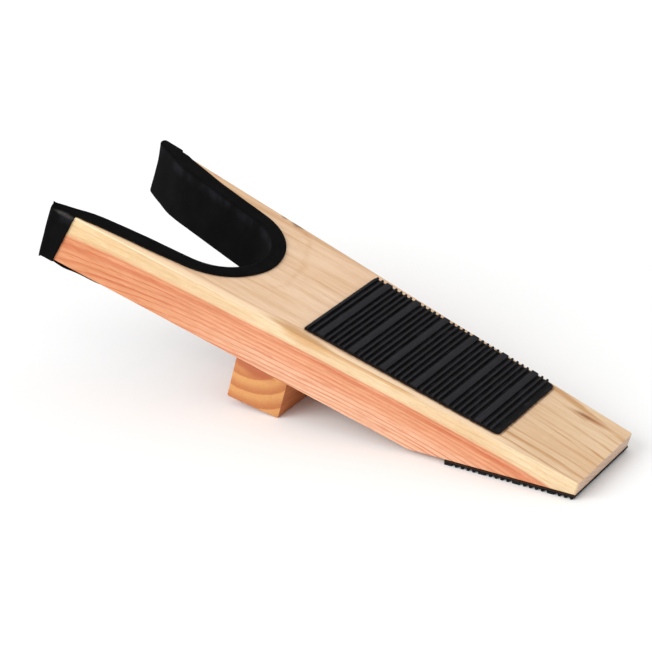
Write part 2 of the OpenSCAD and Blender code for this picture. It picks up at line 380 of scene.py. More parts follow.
def boardMaterial():
    look = boardLook
    made, tree, shader, place = newMaterial("sawnBoard", {"Roughness": 0.58})
    spot = ownPlace(tree, place, *boardFrame)
    split = partsOf(tree, spot)
    along, height = times(tree, split["X"], -1.0), split["Z"]
    nearGap = calc(tree, "ADD", calc(tree, "MULTIPLY_ADD", along, slope, jack["toeWide"] / 2), split["Y"])
    facing = facingOf(tree)
    isTop, isEnd = ramp(tree, facing["Z"], 0.55, 0.8), ramp(tree, facing["X"], 0.75, 0.93)
    course = useGroup(tree, plankGroup, Vector=spot)
    lines = useGroup(tree, ringGroup, Distance=course["Distance"], Spacing=look["ringSpacing"],
                     Vector=spot)["Line"]
    fibre = useGroup(tree, fibreGroup, Vector=spot)
    uneven = ramp(tree, fuzz(tree, spot, (0.006, 0.2, 0.2), 2), 0.35, 0.65, 0.25, 1.0)

    # Sapwood. Top faces get a tone of their own, partly their grain's hue and partly painted light for how
    # the top is lit
    sap = mix(tree, isTop, look["sapwood"], look["topToneAndLight"])
    thin = times(tree, calc(tree, "POWER", lines, ramp(tree, isTop, 0, 1, 1.0, look["topSharp"])), uneven)
    topLines = ramp(tree, along, 60, 190, look["toeLines"], look["heelLines"])
    sap = mix(tree, times(tree, thin, ramp(tree, isTop, 0, 1, look["sideLines"], topLines)),
                    sap, look["sapLine"])
    sap = mix(tree, times(tree, course["Arc"], uneven, look["arcShade"]), sap, look["sapLine"])

    # Heartwood, paler low down towards the toe, with a darker rim where it starts
    pale = times(tree, ramp(tree, height, *look["paleDeep"]), ramp(tree, along, *look["paleHeel"]))
    core = mix(tree, pale, look["heartwood"], look["heartPale"])
    strong = times(tree, lines, ramp(tree, uneven, 0.25, 1.0, 0.55, 1.0),
                   ramp(tree, facing["Z"], -0.95, -0.6, look["underLines"], 1.0))
    streaky = ramp(tree, fuzz(tree, spot, (0.012, 0.9, 0.9), 3, 0.6), 0.5, 0.72, 0.0, 0.55)
    fromRim = calc(tree, "ABSOLUTE", calc(tree, "SUBTRACT", course["Distance"], look["heartFrom"] - 0.6))
    rim = times(tree, ramp(tree, fromRim, *look["rimWide"]),
                ramp(tree, fibre["Streak"], 0.0, 1.0, 0.08, 0.34))
    for amount in (strong, streaky, rim):
        core = mix(tree, amount, core, look["heartLine"])
    through = calc(tree, "MULTIPLY_ADD", fibre["Blotch"], look["heartWander"], course["Distance"])
    through = calc(tree, "SUBTRACT", through, look["heartFrom"])
    colour = mix(tree, ramp(tree, through, *look["heartBlend"]), sap, core)

    # Fibres, blotches, tints and blemishes
    streak = mix(tree, fibre["Streak"], look["streakLight"], look["streakDark"])
    colour = shadeBy(tree, 0.8, colour, streak)
    colour = shadeBy(tree, times(tree, fibre["Pore"], 0.5), colour, look["pore"])
    blotch = mix(tree, ramp(tree, fibre["Blotch"], 0.35, 0.65), white, look["blotch"])
    colour = shadeBy(tree, 0.8, colour, blotch)
    nearToe = times(tree, isTop, ramp(tree, along, *look["toeShadeAlong"]))
    colour = shadeBy(tree, nearToe, colour, look["toeShade"])
    strip = times(tree, isTop, ramp(tree, nearGap, *look["stripGap"]), ramp(tree, along, *look["stripAlong"]))
    colour = mix(tree, times(tree, strip, look["stripAmount"]), colour, look["paleStrip"])
    for mark in boardMarks:
        colour = mix(tree, times(tree, markAt(tree, spot, mark), mark["amount"]), colour, look[mark["tone"]])
    bleach = times(tree, ramp(tree, along, *look["bleachAlong"]), look["bleachAmount"])
    colour = shadeBy(tree, bleach, colour, look["bleached"])

    # Painted highlight on the eased edges, grime on the near one, and glue with painted contact shadow round
    # the tread
    easedHighlight = times(tree, ramp(tree, facing["Z"], 0.12, 0.35), ramp(tree, facing["Z"], 0.92, 0.75),
                  ramp(tree, along, *look["highlightAlong"], *look["highlightAmount"]))
    colour = mix(tree, easedHighlight, colour, look["edgeHighlight"])
    grime = times(tree, ramp(tree, nearGap, *look["grimeGap"]), ramp(tree, height, *look["grimeDeep"]),
                  ramp(tree, along, *look["grimeToe"]), ramp(tree, along, *look["grimeHeel"]))
    colour = mix(tree, times(tree, grime, look["grimeAmount"]), colour, look["patch"])
    colour = mix(tree, glueAndShadowLine(tree, spot), colour, look["glueAndShadow"])

    # End grain at the toe
    mottle = ramp(tree, fuzz(tree, spot, (1.2, 1.2, 1.2), 4, 0.7), 0.3, 0.7)
    ending = mix(tree, mottle, look["endGrain"], look["endFleck"])
    ending = mix(tree, times(tree, lines, 0.3), ending, look["endLine"])
    tree.links.new(mix(tree, isEnd, colour, ending), shader.inputs["Base Color"])
    tree.links.new(ramp(tree, fibre["Streak"], 0, 1, 0.5, 0.66), shader.inputs["Roughness"])
    relief = calc(tree, "ADD", fibre["Height"], times(tree, lines, 0.5))
    relief = calc(tree, "SUBTRACT", relief, times(tree, fibre["Pore"], 0.6))
    addBump(tree, shader, relief, 0.25, 0.0003)
    return made


# Block: its rings go round a pith that lies along y, given as x and z
blockLook = dict(
    wood=rgb(212, 154, 92), ring=rgb(182, 104, 54), face=rgb(192, 116, 64),
    bandAndShadow=rgb(166, 82, 46), grain=rgb(226, 208, 192),
    pith=(-228.0, -20.0), ringSpacing=10.2, ringStart=1.5, early=0.12, ringAmount=0.8,
)
# A dark band at the top of the block's near face, just under the board: partly a heartwood ring band, partly
# painted contact shadow of the board
heartBandAndShadow = dict(amount=0.9, centre=(-222, -52, -39.5), size=(22, 30, 7.5), core=0.4)


def blockMaterial():
    look = blockLook
    made, tree, shader, place = newMaterial("sawnBlock", {"Roughness": 0.6})
    spot = ownPlace(tree, place, *boardFrame)
    split = partsOf(tree, spot)
    sideways = calc(tree, "SUBTRACT", split["X"], look["pith"][0])
    below = calc(tree, "SUBTRACT", split["Z"], look["pith"][1])
    away = calc(tree, "ADD", distance(tree, sideways, below), look["ringStart"])
    turned = addNode(tree, "ShaderNodeCombineXYZ", {0: split["Y"], 1: split["X"], 2: split["Z"]}).outputs[0]
    lines = useGroup(tree, ringGroup, Distance=away, Spacing=look["ringSpacing"], Vector=turned,
                     Early=look["early"], Drift=0.0)["Line"]
    fibre = useGroup(tree, fibreGroup, Vector=turned, Fineness=1.1)
    isEnd = ramp(tree, calc(tree, "ABSOLUTE", facingOf(tree)["Y"]), 0.7, 0.9)
    wood = mix(tree, isEnd, look["face"], look["wood"])
    colour = mix(tree, times(tree, lines, look["ringAmount"]), wood, look["ring"])
    pores = ramp(tree, fuzz(tree, turned, (1.6, 1.6, 1.6), 4, 0.7), 0.35, 0.7)
    tone = mix(tree, isEnd, fibre["Streak"], pores)
    colour = shadeBy(tree, 0.75, colour, mix(tree, tone, white, look["grain"]))
    bandAndShadow = times(tree, markAt(tree, spot, heartBandAndShadow), heartBandAndShadow["amount"])
    tree.links.new(mix(tree, bandAndShadow, colour, look["bandAndShadow"]), shader.inputs["Base Color"])
    tree.links.new(ramp(tree, fibre["Streak"], 0, 1, 0.52, 0.7), shader.inputs["Roughness"])
    addBump(tree, shader, mix(tree, isEnd, fibre["Height"], pores), 0.35, 0.0004)
    return made


suedeLook = dict(
    nap=rgb(6, 6, 6), rubbed=rgb(14, 13, 15), brushedAndSheen=rgb(27, 28, 32),
    cutEdge=rgb(40, 28, 22), creased=rgb(92, 88, 86),
)
# A pale mark on the fold at the near tip, where the leather is creased flat: partly worn nap, partly painted
# highlight
creaseWearAndHighlight = dict(centre=(-372, -62.0, -0.9), size=(11, 4, 1.9), core=0.25)


def suedeMaterial():
    look = suedeLook
    made, tree, shader, place = newMaterial("blackSuede", {
        "Roughness": 0.88, "Specular IOR Level": 0.04, "Sheen Weight": 0.006, "Sheen Roughness": 0.45})
    spot = ownPlace(tree, place, *boardFrame)
    nap = fuzz(tree, spot, (3.2, 3.2, 3.2), 4, 0.65)
    brushedAndSheen = fuzz(tree, spot, (0.09, 0.09, 0.05), 3)
    tone = calc(tree, "ADD", times(tree, ramp(tree, brushedAndSheen, 0.35, 0.7), 0.6),
                times(tree, ramp(tree, nap, 0.35, 0.7), 0.4))
    colour = mix(tree, tone, look["nap"], look["rubbed"])
    # Worn nap and painted highlight on the near tip's creased fold
    worn = times(tree, markAt(tree, spot, creaseWearAndHighlight), ramp(tree, nap, 0.38, 0.6, 0.15, 0.95))
    colour = mix(tree, worn, colour, look["creased"])
    # Painted highlight just below the fold, in patches that follow the brushed nap
    height = partsOf(tree, spot)["Z"]
    foldHighlight = times(tree, ramp(tree, height, -9.0, -2.5), ramp(tree, height, 0.6, -1.0),
                  ramp(tree, brushedAndSheen, 0.42, 0.66, 0.1, 0.8))
    tree.links.new(mix(tree, foldHighlight, colour, look["brushedAndSheen"]), shader.inputs["Base Color"])
    tree.links.new(ramp(tree, nap, 0.3, 0.7, 0.95, 0.78), shader.inputs["Roughness"])
    addBump(tree, shader, nap, 0.5, 0.0004)
    return made


def cutEdgeMaterial():
    made, tree, shader, place = newMaterial("suedeCutEdge", {"Roughness": 0.9, "Specular IOR Level": 0.08})
    fibres = fuzz(tree, ownPlace(tree, place, *boardFrame), (2.5, 2.5, 2.5), 4, 0.7)
    colour = mix(tree, ramp(tree, fibres, 0.35, 0.7), suedeLook["nap"], suedeLook["cutEdge"])
    tree.links.new(colour, shader.inputs["Base Color"])
    addBump(tree, shader, fibres, 0.6, 0.0004)
    return made


# deep is painted shade for the grooves between the ribs, and top is the ribs' own tone
rubberLook = dict(
    top=rgb(29, 28, 32), worn=rgb(42, 40, 45), deep=rgb(3, 3, 4), edge=rgb(48, 32, 24),
    topHigh=(1.4, 2.9), edgeHigh=(1.15, 0.2), wornAmount=0.6,
)


# Rubber is painted darker from the top of its ribs down to its glued face, as painted shade in the grooves
# between them, and its edge is brown with glue there
def rubberMaterial(name, location, turn):
    look = rubberLook
    made, tree, shader, place = newMaterial(name, {"Roughness": 0.62, "Specular IOR Level": 0.12})
    spot = ownPlace(tree, place, location, turn)
    high = partsOf(tree, spot)["Z"]
    dust = fuzz(tree, spot, (0.5, 0.12, 0.5), 4, 0.65)
    grit = fuzz(tree, spot, (4.0, 4.0, 4.0), 3, 0.7)
    # Painted shade: the rubber goes dark in the grooves, below the tops of the ribs
    colour = mix(tree, ramp(tree, high, *look["topHigh"]), look["deep"], look["top"])
    worn = times(tree, ramp(tree, dust, 0.45, 0.75), look["wornAmount"])
    colour = mix(tree, worn, colour, look["worn"])
    colour = mix(tree, ramp(tree, high, *look["edgeHigh"]), colour, look["edge"])
    tree.links.new(colour, shader.inputs["Base Color"])
    tree.links.new(ramp(tree, grit, 0.3, 0.7, 0.52, 0.74), shader.inputs["Roughness"])
    addBump(tree, shader, grit, 0.3, 0.0003)
    return made


steelLook = dict(bright=(0.62, 0.61, 0.58, 1), dull=(0.42, 0.4, 0.36, 1))


def steelMaterial():
    made, tree, shader, place = newMaterial("screwSteel", {"Metallic": 1.0, "Roughness": 0.35})
    stains = fuzz(tree, place, (900, 900, 900), 3)
    colour = mix(tree, ramp(tree, stains, 0.4, 0.7), steelLook["bright"], steelLook["dull"])
    tree.links.new(colour, shader.inputs["Base Color"])
    tree.links.new(ramp(tree, stains, 0.35, 0.7, 0.28, 0.5), shader.inputs["Roughness"])
    return made


boardWood, blockWood = boardMaterial(), blockMaterial()
suede, suedeEdge, steel = suedeMaterial(), cutEdgeMaterial(), steelMaterial()
treadRubber = rubberMaterial("treadRubber", *boardFrame)
gripRubber = rubberMaterial("gripRubber", *gripFrame)
print("materials made")


# Small helpers for shapes
def finishPiece(bm, name, materials, place, node, smoothAngle):
    bm.transform(place)
    mesh = meshFrom(bm, name)
    piece = addObject(name, mesh)
    for material in materials:
        mesh.materials.append(material)
    mesh.shade_smooth()
    mesh.set_sharp_from_angle(angle=math.radians(smoothAngle))
    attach(piece, "root")
    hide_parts(node)
    return piece


def spread(low, high, count):
    return [low + (high - low) * i / count for i in range(count + 1)]


def vertsIn(items):
    return [item for item in items if isinstance(item, bmesh.types.BMVert)]


def edgesIn(items):
    return [item for item in items if isinstance(item, bmesh.types.BMEdge)]


def goTo(bm, vert, spot):
    made = bmesh.ops.extrude_vert_indiv(bm, verts=[vert])["verts"][0]
    made.co = spot
    return made


def arcFrom(bm, vert, centre, degrees, steps):
    turned = bmesh.ops.spin(bm, geom=[vert], cent=centre, axis=(0, 0, 1), dvec=(0, 0, 0),
                            angle=math.radians(degrees), steps=steps, use_merge=False)
    return vertsIn(turned["geom_last"])[0]


def cutFlat(bm, spot, outward, geom=None, fill=True):
    geom = geom or bm.verts[:] + bm.edges[:] + bm.faces[:]
    cut = bmesh.ops.bisect_plane(bm, geom=geom, dist=1e-5, plane_co=spot, plane_no=outward, clear_outer=True)
    if fill:
        bmesh.ops.edgeloop_fill(bm, edges=edgesIn(cut["geom_cut"]))


# A solid from a closed outline of edges, pushed along a line
def pushOut(bm, move):
    rim = bm.edges[:]
    bmesh.ops.contextual_create(bm, geom=rim)
    made = bmesh.ops.extrude_edge_only(bm, edges=rim)["geom"]
    bmesh.ops.translate(bm, vec=move, verts=vertsIn(made))
    bmesh.ops.contextual_create(bm, geom=edgesIn(made))
    bmesh.ops.recalc_face_normals(bm, faces=bm.faces[:])


def easeEdges(bm, keep, width, segments, clamp=True):
    edges = [edge for edge in bm.edges if keep(edge)]
    bmesh.ops.bevel(bm, geom=edges, offset=width, offset_type="OFFSET", segments=segments, profile=0.5,
                    affect="EDGES", clamp_overlap=clamp, material=-1)


def endsOf(edge):
    return edge.verts[0].co, edge.verts[1].co


# Round cutters from an outline of radius and height, one at each centre
def turnedCutter(outline, centres):
    bm = bmesh.new()
    for centre in centres:
        vert = bm.verts.new((outline[0][0] + centre[0], centre[1], outline[0][1]))
        for radius, height in outline[1:]:
            vert = goTo(bm, vert, (centre[0] + radius, centre[1], height))
        profile = [item for item in bm.verts[:] + bm.edges[:] if not item.link_faces]
        bmesh.ops.spin(bm, geom=profile, cent=(centre[0], centre[1], 0), axis=(0, 0, 1),
                       dvec=(0, 0, 0), angle=math.tau, steps=48, use_merge=True)
    bmesh.ops.remove_doubles(bm, verts=bm.verts[:], dist=0.001)
    bmesh.ops.recalc_face_normals(bm, faces=bm.faces[:])
    return bm


def cutAway(piece, cutterShape):
    cutterShape.transform(onJack)
    cutter = addObject("cutter", meshFrom(cutterShape, "cutter"))
    tool = piece.modifiers.new("holes", "BOOLEAN")
    tool.operation, tool.solver, tool.object = "DIFFERENCE", "EXACT", cutter
    graph = bpy.context.evaluated_depsgraph_get()
    cut = bpy.data.meshes.new_from_object(piece.evaluated_get(graph))
    piece.modifiers.remove(tool)
    bpy.data.objects.remove(cutter)
    piece.data = cut


# Heel notch, with its centre line a little to one side: a round bottom, flared sides and a
# wider mouth, with an arc that blends each side into the mouth
notch = dict(radius=37.5, depth=125.5, flare=8.8, mouthLen=24.0, blend=60.0, tipWide=1.8, shift=-1.4,
             roundSteps=30, blendSteps=8)
flare = math.radians(notch["flare"])
notchAlong = jack["boardLen"] - notch["depth"] + notch["radius"]
sideStart = (notchAlong - notch["radius"] * math.sin(flare), notch["radius"] * math.cos(flare))
mouthAlong = jack["boardLen"] - notch["mouthLen"]
mouthHalf = sideStart[1] + (mouthAlong - sideStart[0]) * math.tan(flare)
endHalf = jack["heelWide"] / 2 - notch["tipWide"] + notch["shift"]
mouthFlare = math.atan2(endHalf - mouthHalf, notch["mouthLen"])
blendRun = notch["blend"] * math.tan((mouthFlare - flare) / 2)
blendStart = mouthAlong - blendRun * math.cos(flare)
blendEnd = mouthAlong + blendRun * math.cos(mouthFlare)
blendCentre = (blendStart - notch["blend"] * math.sin(flare),
               mouthHalf - blendRun * math.sin(flare) + notch["blend"] * math.cos(flare))


# Distance of the notch's wall from its centre line
def notchHalf(along):
    if along < blendStart:
        return sideStart[1] + (along - sideStart[0]) * math.tan(flare)
    if along > blendEnd:
        return mouthHalf + (along - mouthAlong) * math.tan(mouthFlare)
    return blendCentre[1] - math.sqrt(notch["blend"] ** 2 - (along - blendCentre[0]) ** 2)


# Holes for the two screws: heights from the top face, and radii
screws = dict(apart=50.0, cutFrom=-45.0, pilotRadius=2.55, pilotTop=-15.4, headRadius=5.1, headSink=1.2,
              shankRadius=2.8, coneDeep=2.3, shankTop=-34.0, pastFace=12.0)
block = dict(start=196.0, length=38.0, slope=5.0, corner=1.5, edge=0.7, deep=45.0)
blockMiddle = block["start"] + block["length"] / 2
screwPlaces = [(-blockMiddle, side * screws["apart"] / 2) for side in (-1, 1)]

# Board: blankLen is its length before the notch end is cut, and longEdge tells its own edges
# from the short ones round the notch
board = dict(edge=0.9, lowerEdge=0.6, toeCorner=1.6, blankLen=386.2, longEdge=30.0)


def boardBlank():
    bm = bmesh.new()
    vert = bm.verts.new((notch["radius"] - notchAlong, 0, 0))
    vert = arcFrom(bm, vert, (-notchAlong, 0, 0), 90 - notch["flare"], notch["roundSteps"])
    vert = goTo(bm, vert, (-blendStart, notchHalf(blendStart), 0))
    turn = math.degrees(mouthFlare - flare)
    vert = arcFrom(bm, vert, (-blendCentre[0], blendCentre[1], 0), -turn, notch["blendSteps"])
    blank = board["blankLen"]
    goTo(bm, vert, (-blank, notchHalf(blank), 0))
    geom = bm.verts[:] + bm.edges[:]
    bmesh.ops.mirror(bm, geom=geom, matrix=Matrix.Identity(4), merge_dist=0.001, axis="Y")
    bmesh.ops.translate(bm, vec=(0, notch["shift"], 0), verts=bm.verts[:])
    tips = sorted((v for v in bm.verts if len(v.link_edges) == 1), key=lambda v: v.co.y)
    vert = tips[-1]
    for along, side in ((blank, 1), (0, 1), (0, -1), (blank, -1)):
        vert = goTo(bm, vert, (-along, side * halfWide(along), 0))
    bm.edges.new((vert, tips[0]))
    pushOut(bm, (0, 0, underside))
    cutFlat(bm, (0, 0, -jack["toeThick"]), (math.sin(tilt), 0, -math.cos(tilt)))
    cutFlat(bm, (-jack["boardLen"], 0, 0), (-math.cos(lean), 0, math.sin(lean)))
    bmesh.ops.recalc_face_normals(bm, faces=bm.faces[:])
    return bm


# Which edges of the board are eased
def onSides(edge):
    return all(abs(abs(p.y) - halfWide(-p.x)) < 0.05 for p in endsOf(edge))


def isToeCorner(edge):
    a, b = endsOf(edge)
    return max(a.x, b.x) > -3.01 and abs(a.z - b.z) > 5 and onSides(edge)


def isTopRim(edge):
    a, b = endsOf(edge)
    onTop = abs(a.z) < 0.01 and abs(b.z) < 0.01
    atToe = max(abs(a.x), abs(b.x)) < 0.01
    return onTop and (onSides(edge) or atToe) and abs(a.x - b.x) + abs(a.y - b.y) > board["longEdge"]


def isLowRim(edge):
    under = all(abs(p.z - underside) < 0.01 for p in endsOf(edge)) and onSides(edge)
    onBevel = all(abs(p.z + jack["toeThick"] - p.x * math.tan(tilt)) < 0.01 for p in endsOf(edge))
    onBevel = onBevel and max(p.z for p in endsOf(edge)) < -1
    return (under or onBevel) and edge.calc_length() > board["longEdge"]


def makeBoard():
    bm = boardBlank()
    easeEdges(bm, isToeCorner, board["toeCorner"], 4)
    easeEdges(bm, isTopRim, board["edge"], 3, clamp=False)
    easeEdges(bm, isLowRim, board["lowerEdge"], 2, clamp=False)
    piece = finishPiece(bm, "board_wood", [boardWood], onJack, "board", 30)
    radius, low, top = screws["pilotRadius"], screws["cutFrom"], screws["pilotTop"]
    cutAway(piece, turnedCutter([(0, low), (radius, low), (radius, top), (0, top)], screwPlaces))


# Block: its underside slopes from the rounded toe-side corner that it stands on
blockSlope = math.radians(block["slope"])
cornerAlong = block["start"] + block["corner"]
cornerZ = (block["corner"] - toeZ - cornerAlong * math.sin(tilt)) / math.cos(tilt)


def blockUnder(along):
    return cornerZ - block["corner"] / math.cos(blockSlope) - (along - cornerAlong) * math.tan(blockSlope)


def makeBlock():
    bm = bmesh.new()
    first, last = block["start"], block["start"] + block["length"]
    vert = start = bm.verts.new((-first, -halfWide(first), underside))
    for along, side in ((first, 1), (last, 1), (last, -1)):
        vert = goTo(bm, vert, (-along, side * halfWide(along), underside))
    bm.edges.new((vert, start))
    pushOut(bm, (0, 0, -block["deep"]))
    cutFlat(bm, (-first, 0, blockUnder(first)), (math.sin(blockSlope), 0, -math.cos(blockSlope)))
    bmesh.ops.recalc_face_normals(bm, faces=bm.faces[:])

    def isLowCorner(edge):
        a, b = endsOf(edge)
        return max(a.z, b.z) < -50 and abs(a.y - b.y) > 50

    def isSharp(edge):
        return edge.calc_face_angle(0) > 0.6 and min(p.z for p in endsOf(edge)) < underside - 1

    easeEdges(bm, isLowCorner, block["corner"], 4)
    easeEdges(bm, isSharp, block["edge"], 2)
    piece = finishPiece(bm, "riser_block_wood", [blockWood], onJack, "riser_block", 30)
    face = blockUnder(blockMiddle) + screws["headSink"]
    head, shank = screws["headRadius"], screws["shankRadius"]
    hole = [(0, face - screws["pastFace"]), (head, face - screws["pastFace"]), (head, face),
            (shank, face + screws["coneDeep"]), (shank, screws["shankTop"]), (0, screws["shankTop"])]
    cutAway(piece, turnedCutter(hole, screwPlaces))


# Leather lining: one strip down the notch's wall, folded over both of its edges, and round each tip
lining = dict(
    fold=0.5, creased=1.4,  # reach of a fold, and of the near tip's upper one, which is creased flat
    marginBase=8.4, marginArm=9.2, marginFrom=258.0, marginOver=70.0,  # leather glued on a face
    farTipMore=2.6, nearLowMore=5.5, tipFrom=326.0, tipOver=30.0,  # wider margins towards the tips
    wave=0.35, proud=0.12, hang=0.4,  # unevenness, and how far the folds stand off the wood
    nearPoint=0.24, farPoint=0.14, pointDrop=1.7, pointFrom=14.0, pointOver=10.0,  # the same at the tips
    farLean=2.1, leanDeep=14.0, nose=0.35, noseMore=0.4,  # how far the tips' rounded ends reach
    wrapNear=17.0, wrapFar=13.0, wrapBottom=10.0,  # leather on the arms' outer sides
    turnOver=50.0, roundSteps=14, sideSteps=13, tipSteps=12, wallRows=11, marginRows=4,
    thick=0.00135,  # in metres
)
# Slack places: where they are along the board, how far they move and how far they reach
nearSlack = dict(at=330, deep=0.36, over=30)
nearSag = dict(at=368.5, deep=1.9, over=8)
farSag = dict(at=380, deep=0.4, over=5)
# Unevenness of the whole skin, pushed out along its normals
skin = dict(broad=0.3, broadScale=0.07, fine=0.12, fineScale=0.25, out=0.1, least=0.02)


def swell(place, along):
    return place["deep"] * math.exp(-((along - place["at"]) / place["over"]) ** 2)


def fadeIn(along, start, over):
    return min(1.0, max(0.0, (along - start) / over))


def endAlong(z):
    return jack["boardLen"] - z * math.tan(lean)


# Stops along one half of the strip, from the bottom of the notch to round an arm's tip
def liningStops():
    stops = [dict(kind="round", angle=a) for a in spread(0, math.pi / 2 - flare, lining["roundSteps"])]
    stops += [dict(kind="side", along=along)
              for along in spread(sideStart[0], mouthAlong, lining["sideSteps"])[1:]]
    stops += [dict(kind="tip", part=share) for share in spread(0, 1, lining["tipSteps"])[1:-1]]
    stops += [dict(kind="nose", angle=a) for a in spread(0, math.pi / 2, 3)]
    return stops


# Where a stop's edge is at a height, as along and y, the way into the wood and the arm's width
def stopAt(stop, side, z):
    if stop["kind"] == "round":
        angle = stop["angle"]
        along = notchAlong - notch["radius"] * math.cos(angle)
        y = side * notch["radius"] * math.sin(angle) + notch["shift"]
        return along, y, (-math.cos(angle), side * math.sin(angle)), 50.0
    shrink, into = 1.0, (0, side)
    last = endAlong(z) - lining["nose"]
    if side > 0:
        last += lining["farLean"] * max(0.0, 1 + z / lining["leanDeep"])
    if stop["kind"] == "side":
        along = stop["along"]
        turn = flare * max(0.0, 1 - (along - sideStart[0]) / lining["turnOver"])
        into = (-math.sin(turn), side * math.cos(turn))
    elif stop["kind"] == "tip":
        along = mouthAlong + (last - mouthAlong) * stop["part"]
    else:
        along = last + (lining["nose"] + lining["noseMore"]) * math.sin(stop["angle"])
        shrink = math.cos(stop["angle"])
    inner = notchHalf(along) + side * notch["shift"]
    wide = max(halfWide(along) - inner, 0.5)
    inner += wide / 2 * (1 - shrink)
    return along, side * inner, into, wide * max(shrink, 0.02)


# How far the fold over an arm's outer edge reaches in
def outerFold(side, top, along, wide):
    creased = side < 0 and top and along > jack["boardLen"] - lining["wrapNear"] - 8
    return min(lining["creased"] if creased else lining["fold"], wide * 0.42)


# How wide the leather is on a face before it is cut to the arm's width
def marginAt(along, y, side, top):
    reach = fadeIn(along, lining["marginFrom"], lining["marginOver"])
    margin = lining["marginBase"] + (lining["marginArm"] - lining["marginBase"]) * reach
    margin += lining["wave"] * 2 * noise.noise(Vector((along * 0.05, y * 0.05, 1.7)))
    more = 0
    if side > 0 and top:
        more = lining["farTipMore"]
    elif side < 0 and not top:
        more = lining["nearLowMore"]
    return margin + more * fadeIn(along, lining["tipFrom"], lining["tipOver"])


# How far the fold over the notch's edge stands out from the wall and above or below the face
def foldAt(along, side, top):
    atTip = fadeIn(along, jack["boardLen"] - lining["pointFrom"], lining["pointOver"])
    loose = swell(nearSlack, along) if side < 0 and top else 0.0
    point = lining["nearPoint"]
    if side > 0:
        point = lining["farPoint"] if top else 0.0
    out = (lining["proud"] + loose * 0.8) * (1 - atTip) + point * atTip
    if top:
        lift = (lining["proud"] + loose * 0.4) * (1 - atTip) + (point * atTip if side < 0 else 0.0)
    else:
        lift = -lining["hang"] * (1 - atTip) - lining["pointDrop"] * point * atTip
        lift -= swell(farSag, along) if side > 0 else 0.0
    return out, lift


# Points of a stop's profile from the strip's upper edge to its lower edge
def liningProfile(stop, side):
    alongTop, yTop = stopAt(stop, side, 0)[:2]
    faces, reachedTop = [], False
    for top in (True, False):
        z = 0.0 if top else underside
        along, y, into, wide = stopAt(stop, side, z)
        margin = marginAt(alongTop, yTop, side, top)
        acrossArm = wide - outerFold(side, top, along, wide)
        reached = acrossArm <= margin + 0.4
        reachedTop = reachedTop or (top and reached)
        sag = swell(nearSag, along) if side < 0 and not top else 0.0
        made = []
        inner = acrossArm if reached else margin
        for offset in spread(inner, min(lining["fold"], wide * 0.3), lining["marginRows"]):
            made.append((-(along + into[0] * offset), y + into[1] * offset, z - sag * offset / wide))
        out, lift = foldAt(along, side, top)
        made.append((-(along - into[0] * out), y - into[1] * out, z + lift))
        faces.append(made)
    wall = []
    for z in spread(-lining["fold"], lining["fold"] + underside, lining["wallRows"]):
        along, y = stopAt(stop, side, z)[:2]
        wall.append((-along, y, z))
    return faces[0] + wall + faces[1][::-1], reachedTop


# Points down the outer side of an arm, which the strip's folds run into at each stop
def outerProfile(stop, side):
    faces, folds = [], []
    for top in (True, False):
        z = 0.0 if top else underside
        along, y, _, wide = stopAt(stop, side, z)
        fold = outerFold(side, top, along, wide)
        corner = fold * 0.4 if side < 0 and top else 0.0
        edge = y + side * wide
        faces.append([(-along, edge - side * fold, z), (-along, edge - side * corner, z - corner)])
        folds.append(fold)
    wall = []
    for z in spread(-folds[0], folds[1] + underside, lining["wallRows"]):
        along, y, _, wide = stopAt(stop, side, z)
        wall.append((-along, y + side * wide, z))
    return faces[0] + wall + faces[1][::-1]


# A grid whose points are set to rows of places
def fitGrid(bm, rows):
    columns = len(rows[0])
    made = bmesh.ops.create_grid(bm, x_segments=columns - 1, y_segments=len(rows) - 1, size=1)["verts"]
    made.sort(key=lambda v: (round(v.co.y, 5), round(v.co.x, 5)))
    for i, vert in enumerate(made):
        vert.co = rows[i // columns][i % columns]


# Cuts the leather on the outer side of an arm along a line from the top face to the underside
def trimWrap(bm, faces, side):
    top = Vector((-(jack["boardLen"] - lining["wrapNear" if side < 0 else "wrapFar"]), 0, 0))
    run = Vector((lining["wrapBottom"] - endAlong(underside), 0, underside)) - top
    # Each point and edge once, in the faces' own order: a set's order would differ from run to run
    geom = list(dict.fromkeys(v for f in faces for v in f.verts))
    geom += list(dict.fromkeys(e for f in faces for e in f.edges)) + faces
    cutFlat(bm, top, (-run.z, 0, run.x), geom, fill=False)


